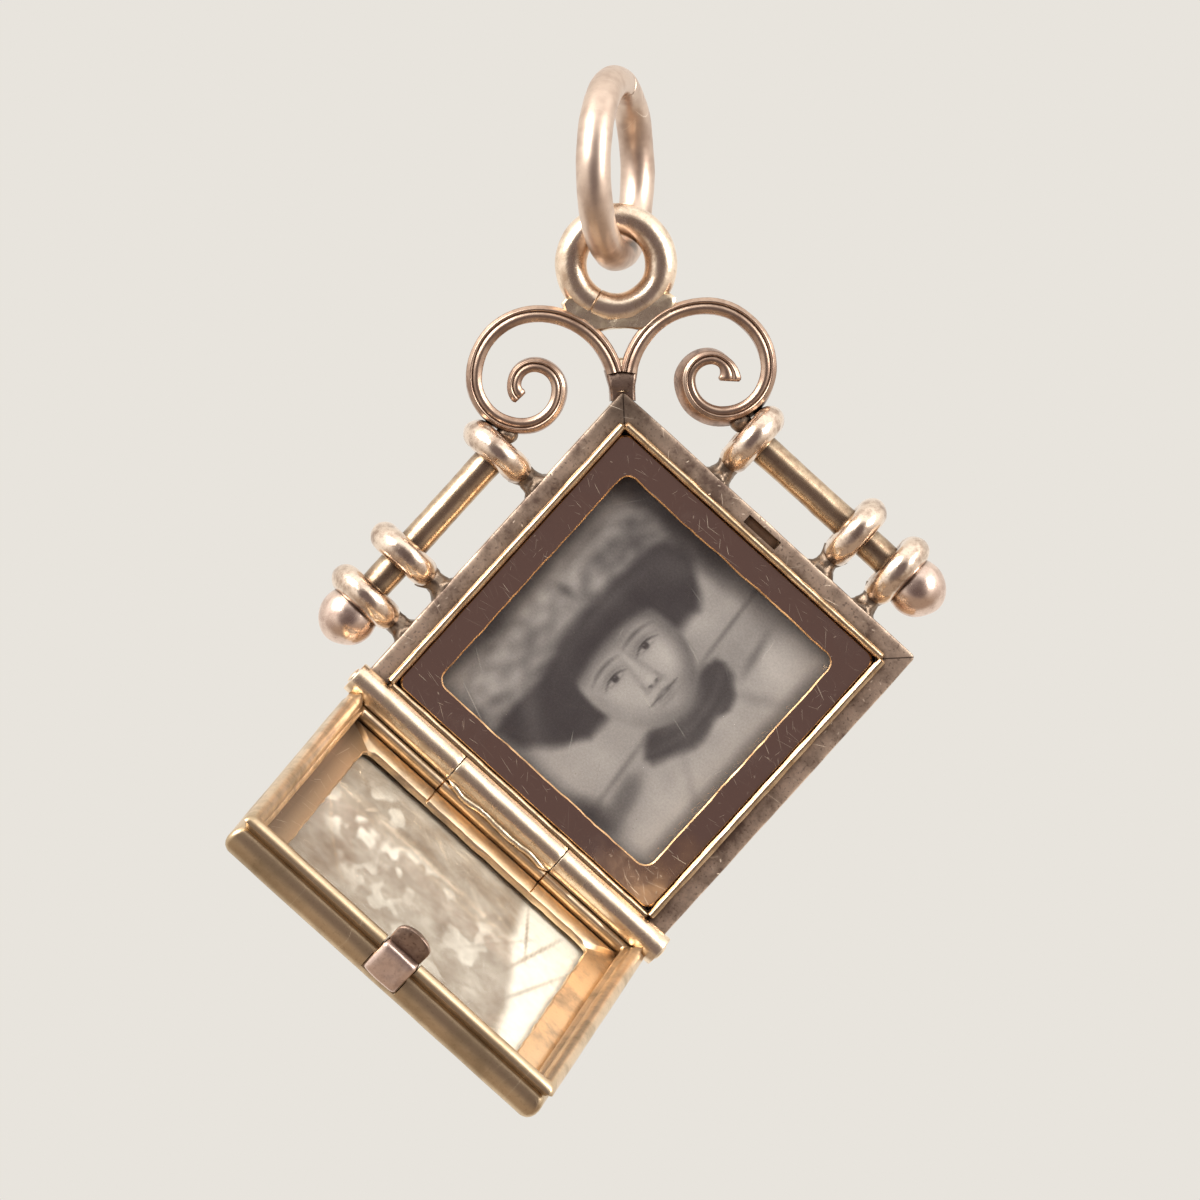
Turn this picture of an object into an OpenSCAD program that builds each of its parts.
// Square book locket, worn on its corner, with its front leaf standing open.
// It hangs from its bail ring. The origin is where a chain carries the ring.
// Sizes are millimetres, +Z is up and the open face looks along -Y.

/* [Case] */
// Side of the square case
case_side = 16; // [12:0.5:24]
// Depth of the case behind its ledge
case_depth = 1.75; // [1.6:0.05:3]
// Width of the flat ledge that the lid closes on
ledge_w = 0.82; // [0.75:0.01:1.2]
// Width of the raised bead inside the ledge
bead_w = 0.3; // [0.2:0.01:0.5]
// Height of the bead above the ledge
bead_h = 0.45; // [0.3:0.01:0.6]

/* [Lid] */
// Thickness of the lid
lid_depth = 1.9; // [1.85:0.05:3]
// Depth from the rim of the lid down to its picture frame
lid_recess = 1.15; // [0.8:0.05:1.15]
// Angle at which the lid stands open
lid_open = 114; // [60:1:125]

/* [Hinge] */
// Radius of the hinge tube
knuckle_r = 0.675; // [0.5:0.005:0.7]
// Distance of the hinge line inside the edge of the case
hinge_inset = 0.23; // [0.1:0.01:0.35]
// Distance that each end of the hinge tube stands past the case
hinge_over = 0.3; // [0:0.05:0.6]
// Radius of the hinge pin
pin_r = 0.23; // [0.15:0.01:0.3]

/* [Pictures] */
// Width of the bars of the case frame
case_frame_w = 1.17; // [0.9:0.01:2]
// Width of the bars of the lid frame
lid_frame_w = 1.23; // [0.9:0.01:2]
// Thickness of the case frame
frame_t = 0.35; // [0.2:0.05:0.4]
// Thickness of the lid frame
lid_frame_t = 0.18; // [0.1:0.02:0.24]
// Thickness of the glass in the case
glass_t = 0.4; // [0.2:0.05:0.5]
// Thickness of the glass in the lid
lid_glass_t = 0.15; // [0.1:0.01:0.2]
// Thickness of the picture card in the case
card_t = 0.25; // [0.1:0.05:0.3]
// Thickness of the picture paper in the lid
lid_card_t = 0.1; // [0.06:0.02:0.16]
// Radius of the corners of a window
window_corner_r = 0.5; // [0.2:0.05:1]

/* [Catch] */
// Width of the thumb piece
catch_w = 1.6; // [1:0.1:2.4]
// Length of the tongue past the rim of the lid
tongue_len = 0.9; // [0.5:0.05:1.1]
// Thickness of the tongue
tongue_t = 0.3; // [0.2:0.02:0.34]
// Distance that the thumb piece stands out of the lid's edge
catch_proud = 0.14; // [0.05:0.01:0.3]

/* [Rails] */
// Distance from the side of the case to the axis of a rail
rail_off = 2.1; // [1.9:0.05:2.6]
// Radius of a rail
rail_r = 0.65; // [0.4:0.05:0.8]
// Outer radius of a collar
collar_r = 1.65; // [1.2:0.05:1.8]
// Radius of the round wire that a collar is made of
collar_wire_r = 0.6; // [0.4:0.05:0.7]
// Distance of the first collar from the top corner, along the side
collar_1 = 5.2; // [5:0.1:5.6]
// Distance of the second collar from the top corner, along the side
collar_2 = 10.8; // [9:0.1:11.2]
// Distance from the second collar to the third
collar_pair = 2.3; // [1.9:0.05:2.6]
// Radius of the ball at the end of a rail
ball_r = 1.2; // [0.9:0.05:1.4]
// Distance of the ball's centre past the third collar
ball_past = 1.05; // [0.8:0.05:1.3]
// Radius of the solder foot under a collar
foot_r = 0.5; // [0.3:0.05:0.7]

/* [Scrolls] */
// Width of the scroll strip, seen from the front
strip_w = 0.68; // [0.5:0.02:0.8]
// Depth of the scroll strip, front to back
strip_d = 1.15; // [0.8:0.05:1.4]
// Radius of the widest arc of a scroll
scroll_r = 3.2; // [3.1:0.02:3.3]
// Radius of the rolled tip of a scroll
tip_r = 0.42; // [0.36:0.02:0.5]

/* [Loop and bail] */
// Height of the soldered loop's centre above the top corner
loop_up = 5.13; // [4.9:0.02:5.4]
// Radius of the soldered loop, to the middle of its wire
loop_r = 1.82; // [1.7:0.02:2]
// Radius of the loop's wire
loop_wire_r = 0.65; // [0.5:0.05:0.7]
// Radius of the bail ring, to the middle of its wire
bail_r = 3.45; // [3:0.05:4.5]
// Radius of the bail's wire
bail_wire_r = 0.7; // [0.5:0.05:0.75]
// Angle of the bail's plane to the case
bail_turn = 73; // [60:1:90]

/* [Hang] */
// Tilt at which the open locket comes to rest
hang_tilt = 2.8; // [0:0.1:6]

/* [Hidden] */

$fn = 48;
eps = 0.01;
// Distance by which a cut runs past what it cuts
past = 1;
// Gap between two pieces that lie face to face, and play between two that turn
seat_gap = 0.03;
turn_gap = 0.05;
link_gap = 0.06;
lid_gap = 0.03;
// Play of the lid's rim round the bead
rim_play = 0.08;

gold = "#c9a07c";
dark_gold = "#6d564b";
rose_gold = "#c08f78";
glass_grey = "#9fa3a4";
picture_grey = "#8c8883";
picture_sepia = "#b49c74";

half_side = case_side / 2;
// Height of a corner over the middle of the square
corner_up = case_side / sqrt(2);

// Hinge
hinge_len = case_side + 2 * hinge_over;
knuckle_len = hinge_len / 3;
relief_r = knuckle_r + turn_gap;
case_bore_r = pin_r + seat_gap;
lid_bore_r = pin_r + seat_gap + turn_gap / 2;
pin_head_proud = 0.12;
pin_head_r = pin_r + pin_head_proud;
pin_head_t = 0.1;
// Along the hinge the bead is filed down to clear the knuckles, up to near its corners
filed_bead_h = 0.22;
filed_end = 0.3;
filed_len = case_side - 2 * (ledge_w + bead_w + filed_end);
filed_past = 0.1;

// Tray of the case, from the ledge down
bead_root = 0.5;
tray_side = case_side - 2 * (ledge_w + bead_w);
frame_top = 0.1;
frame_low = frame_top - frame_t;
glass_low = frame_low - seat_gap - glass_t;
card_low = glass_low - seat_gap - card_t;
tray_floor = card_low - seat_gap;
frame_side = tray_side - 2 * seat_gap;
frame_corner_r = 0.4;
case_window = frame_side - 2 * case_frame_w;

// Lid, from its rim up to its front plate
rim_w = ledge_w - rim_play;
lid_inner = case_side - 2 * rim_w;
lid_frame_top = lid_gap + lid_recess + lid_frame_t;
lid_glass_top = lid_frame_top + seat_gap + lid_glass_t;
lid_card_top = lid_glass_top + seat_gap + lid_card_t;
lid_floor = lid_card_top + seat_gap;
lid_top = lid_gap + lid_depth;
lid_frame_side = lid_inner - 2 * seat_gap;
lid_window = lid_frame_side - 2 * lid_frame_w;

// Catch
tongue_back = 0.3;
tongue_root = 0.2;
tongue_in = case_side - tongue_back - tongue_t;
catch_in = case_side - rim_w + seat_gap;
catch_top = 1.55;

// Ornament
ornament_z = -0.6;
collar_3 = collar_2 + collar_pair;
foot_root = 0.2;
tie_inset = 0.15;
tie_low_w = 1.05;
tie_top_w = 1.35;
tie_up = 0.85;
tie_root = 0.4;
// Where the right-hand scroll leaves the tie block, and its slope there
scroll_x = 0.27;
scroll_up = 0.74;
scroll_y = corner_up + scroll_up;
scroll_slope = 12;
strip_edge = 0.16;
tip_proud = 0.05;
// Arcs of a scroll from the tie block inwards: [turn in degrees, radius as a share of scroll_r]
scroll_arcs = [[90 - scroll_slope, 1], [90, 0.8], [90, 0.61], [90, 0.46],
               [90, 0.31], [90, 0.26], [80, 0.17]];
solder_r = 0.46;
solder_x = 1.55;
solder_low = 0.08;
solder_out = 0.05;
loop_y = corner_up + loop_up;
// Where the bail's wire carries the loop, above the middle of the case
pivot_y = loop_y + loop_r - loop_wire_r - link_gap - bail_wire_r;
solder_y = loop_y - sqrt(pow(loop_r + loop_wire_r, 2) - pow(solder_x, 2)) - solder_low;
// Height of that place in the finished part, whose origin is the bail's seat
pivot_z = bail_wire_r - 2 * bail_r;

// Points of a square with rounded corners
function round_square(side, r, steps = 6) = [
    for (c = [0:3], k = [0:steps])
        let (a = 90 * c + 90 * k / steps, m = side / 2 - r)
        [(c == 0 || c == 3 ? m : -m) + r * cos(a), (c < 2 ? m : -m) + r * sin(a)]
];

// Centre of arc i of the right-hand scroll, whose arcs run on from each other smoothly
function arc_start(i) = i == 0 ? 180 - scroll_slope : arc_start(i - 1) - scroll_arcs[i - 1][0];
function arc_r(i) = scroll_r * scroll_arcs[i][1];
function around(a) = [cos(a), sin(a)];
function arc_centre(i) =
    i == 0 ? [scroll_x, scroll_y] - arc_r(0) * around(arc_start(0))
           : arc_centre(i - 1) + (arc_r(i - 1) - arc_r(i)) * around(arc_start(i));

// From the face of the case, diagonal upright and front +Z, to the finished part
module hang_pendant() {
    translate([0, 0, pivot_z]) rotate([0, -hang_tilt, 0]) rotate([90, 0, 0])
        translate([0, -pivot_y, -ornament_z]) children();
}

// From a leaf, hinge side on X with Y away from it, to the face of the case
module on_leaf() {
    rotate([0, 0, -45]) translate([0, -half_side, 0]) children();
}

module case_place() {
    hang_pendant() on_leaf() children();
}

module lid_place() {
    hang_pendant() on_leaf() translate([0, hinge_inset, 0]) rotate([lid_open, 0, 0])
        translate([0, -hinge_inset, 0]) children();
}

// Square plate round the middle of a leaf, between two heights
module leaf_plate(side, low, top) {
    translate([-side / 2, half_side - side / 2, low]) cube([side, side, top - low]);
}

module rounded_plate(side, r, low, top) {
    translate([0, half_side, low]) linear_extrude(top - low) polygon(round_square(side, r));
}

// Cylinder on the hinge line
module hinge_rod(r, from, to) {
    translate([from, hinge_inset, 0]) rotate([0, 90, 0]) cylinder(r = r, h = to - from);
}

// One side of the bead, with a half-round top and mitred ends
module bead_side() {
    run = case_side / 2 - ledge_w;
    intersection() {
        translate([-half_side, -run, 0]) rotate([90, 0, 90]) linear_extrude(case_side)
            union() {
                translate([0, -bead_root]) square([bead_w, bead_root + bead_h - bead_w / 2]);
                translate([bead_w / 2, bead_h - bead_w / 2]) circle(r = bead_w / 2);
            }
        translate([0, 0, -past]) linear_extrude(2 * past)
            polygon([[0, 0], [-run, -run], [run, -run]]);
    }
}

module bead() {
    translate([0, half_side, 0])
        for (a = [0:90:270]) rotate([0, 0, a]) bead_side();
}

module tray() {
    difference() {
        union() {
            leaf_plate(case_side, -case_depth, 0);
            bead();
            for (s = [-1, 1])
                hinge_rod(knuckle_r, s < 0 ? -hinge_len / 2 : knuckle_len / 2 + seat_gap,
                          s < 0 ? -knuckle_len / 2 - seat_gap : hinge_len / 2);
        }
        leaf_plate(tray_side, tray_floor, past);
        hinge_rod(relief_r, -knuckle_len / 2 - seat_gap, knuckle_len / 2 + seat_gap);
        hinge_rod(case_bore_r, -hinge_len, hinge_len);
        difference() {
            translate([-filed_len / 2, ledge_w - filed_past, filed_bead_h])
                cube([filed_len, bead_w + 2 * filed_past, past]);
            hinge_rod(knuckle_r, -hinge_len, hinge_len);
        }
        // Slot in the ledge for the tongue of the catch
        translate([-catch_w / 2 - turn_gap, tongue_in - turn_gap, -tongue_len - turn_gap])
            cube([catch_w + 2 * turn_gap, tongue_t + 2 * turn_gap, past + tongue_len]);
    }
}

// Right-hand rail, with its collars, ball and solder feet
module rail() {
    translate([0, corner_up, ornament_z]) rotate([0, 0, -45]) {
        translate([collar_1, rail_off, 0]) rotate([0, 90, 0])
            cylinder(r = rail_r, h = collar_3 + ball_past - collar_1);
        for (x = [collar_1, collar_2, collar_3]) {
            translate([x, rail_off, 0]) rotate([0, 90, 0])
                rotate_extrude() translate([collar_r - collar_wire_r, 0])
                    circle(r = collar_wire_r);
            translate([x, -foot_root, 0]) rotate([-90, 0, 0])
                cylinder(r = foot_r, h = rail_off - collar_r + collar_wire_r + foot_root);
        }
        translate([collar_3 + ball_past, rail_off, 0]) sphere(r = ball_r);
    }
}

// Section of the scroll strip, with its edges taken off
module strip_section() {
    w = strip_w / 2;
    d = strip_d / 2;
    polygon([for (q = [[1, -1], [1, 1], [-1, 1], [-1, -1]], k = [0, 1])
        let (first = (q[0] * q[1] < 0) == (k == 0))
        first ? [q[0] * (w - strip_edge), q[1] * d] : [q[0] * w, q[1] * (d - strip_edge)]]);
}

// Right-hand scroll: a strip bent along arcs that grow tighter, to a rolled tip
module scroll() {
    last = len(scroll_arcs) - 1;
    tip_angle = arc_start(last) - scroll_arcs[last][0];
    for (i = [0:last]) {
        c = arc_centre(i);
        translate([c[0], c[1], ornament_z])
            rotate([0, 0, arc_start(i) - scroll_arcs[i][0]])
                rotate_extrude(angle = scroll_arcs[i][0]) translate([arc_r(i), 0])
                    strip_section();
    }
    tip = arc_centre(last) + arc_r(last) * around(tip_angle);
    translate([tip[0], tip[1], ornament_z]) cylinder(r = tip_r, h = strip_d + 2 * tip_proud, center = true);
}

module solder_drop(place) {
    translate([place[0], place[1], ornament_z]) sphere(r = solder_r);
}

module tie_block() {
    translate([0, corner_up, -case_depth + tie_inset]) linear_extrude(case_depth - 2 * tie_inset)
        polygon([[-tie_low_w / 2, -tie_root], [tie_low_w / 2, -tie_root],
                 [tie_low_w / 2, 0], [tie_top_w / 2, tie_up],
                 [-tie_top_w / 2, tie_up], [-tie_low_w / 2, 0]]);
}

// Case with all that is soldered to it
module case() {
    color(gold) union() {
        case_place() tray();
        hang_pendant() {
            for (m = [0, 1]) mirror([m, 0, 0]) {
                rail();
                scroll();
                solder_drop([solder_x, solder_y]);
                solder_drop(arc_centre(2) + (arc_r(2) + strip_w / 2 + solder_out) * around(-45));
            }
            tie_block();
            translate([0, loop_y, ornament_z])
                rotate_extrude() translate([loop_r, 0]) circle(r = loop_wire_r);
        }
    }
}

module case_frame() {
    color(dark_gold) case_place() difference() {
        rounded_plate(frame_side, frame_corner_r, frame_low, frame_top);
        rounded_plate(case_window, window_corner_r, frame_low - past, frame_top + past);
    }
}

module case_glass() {
    color(glass_grey) case_place()
        rounded_plate(frame_side, frame_corner_r, glass_low, glass_low + glass_t);
}

module case_picture() {
    color(picture_grey) case_place()
        rounded_plate(frame_side, frame_corner_r, card_low, card_low + card_t);
}

// Riveted at both ends
module hinge_pin() {
    color(gold) case_place() union() {
        hinge_rod(pin_r, -hinge_len / 2 - 2 * seat_gap, hinge_len / 2 + 2 * seat_gap);
        for (s = [-1, 1])
            hinge_rod(pin_head_r, s < 0 ? -hinge_len / 2 - seat_gap - pin_head_t : hinge_len / 2 + seat_gap,
                      s < 0 ? -hinge_len / 2 - seat_gap : hinge_len / 2 + seat_gap + pin_head_t);
    }
}

module lid() {
    color(gold) lid_place() difference() {
        union() {
            leaf_plate(case_side, lid_gap, lid_top);
            hinge_rod(knuckle_r, -knuckle_len / 2, knuckle_len / 2);
        }
        leaf_plate(lid_inner, -past, lid_floor);
        for (s = [-1, 1])
            hinge_rod(relief_r, s < 0 ? -hinge_len : knuckle_len / 2,
                      s < 0 ? -knuckle_len / 2 : hinge_len);
        hinge_rod(lid_bore_r, -hinge_len, hinge_len);
        // Notch for the catch in the free edge
        translate([-catch_w / 2 - seat_gap, case_side - rim_w - past, -past])
            cube([catch_w + 2 * seat_gap, rim_w + 2 * past, past + catch_top + seat_gap]);
    }
}

module lid_frame() {
    low = lid_gap + lid_recess;
    color(gold) lid_place() difference() {
        rounded_plate(lid_frame_side, frame_corner_r, low, lid_frame_top);
        rounded_plate(lid_window, window_corner_r, low - past, lid_frame_top + past);
    }
}

module lid_glass() {
    color(glass_grey) lid_place()
        rounded_plate(lid_frame_side, frame_corner_r, lid_frame_top + seat_gap, lid_glass_top);
}

module lid_picture() {
    color(picture_sepia) lid_place()
        rounded_plate(lid_frame_side, frame_corner_r, lid_glass_top + seat_gap, lid_card_top);
}

// Thumb piece in the free edge of the lid, with the tongue that snaps into the ledge
module catch() {
    color(rose_gold) lid_place() union() {
        translate([-catch_w / 2, catch_in, lid_gap + eps])
            cube([catch_w, case_side + catch_proud - catch_in, catch_top - lid_gap - eps]);
        translate([-catch_w / 2, tongue_in, -tongue_len / 2])
            cube([catch_w, tongue_t, tongue_len / 2 + tongue_root]);
        translate([0, tongue_in, -tongue_len / 2]) rotate([-90, 0, 0]) intersection() {
            cylinder(r = catch_w / 2, h = tongue_t);
            translate([-catch_w, 0, -past]) cube([2 * catch_w, tongue_len / 2, tongue_t + 2 * past]);
        }
    }
}

module bail_ring() {
    color(rose_gold) translate([0, 0, bail_wire_r - bail_r]) rotate([0, 0, bail_turn])
        rotate([90, 0, 0]) rotate_extrude() translate([bail_r, 0]) circle(r = bail_wire_r);
}

bail_ring();
case();
case_frame();
case_glass();
case_picture();
hinge_pin();
lid();
lid_frame();
lid_glass();
lid_picture();
catch();
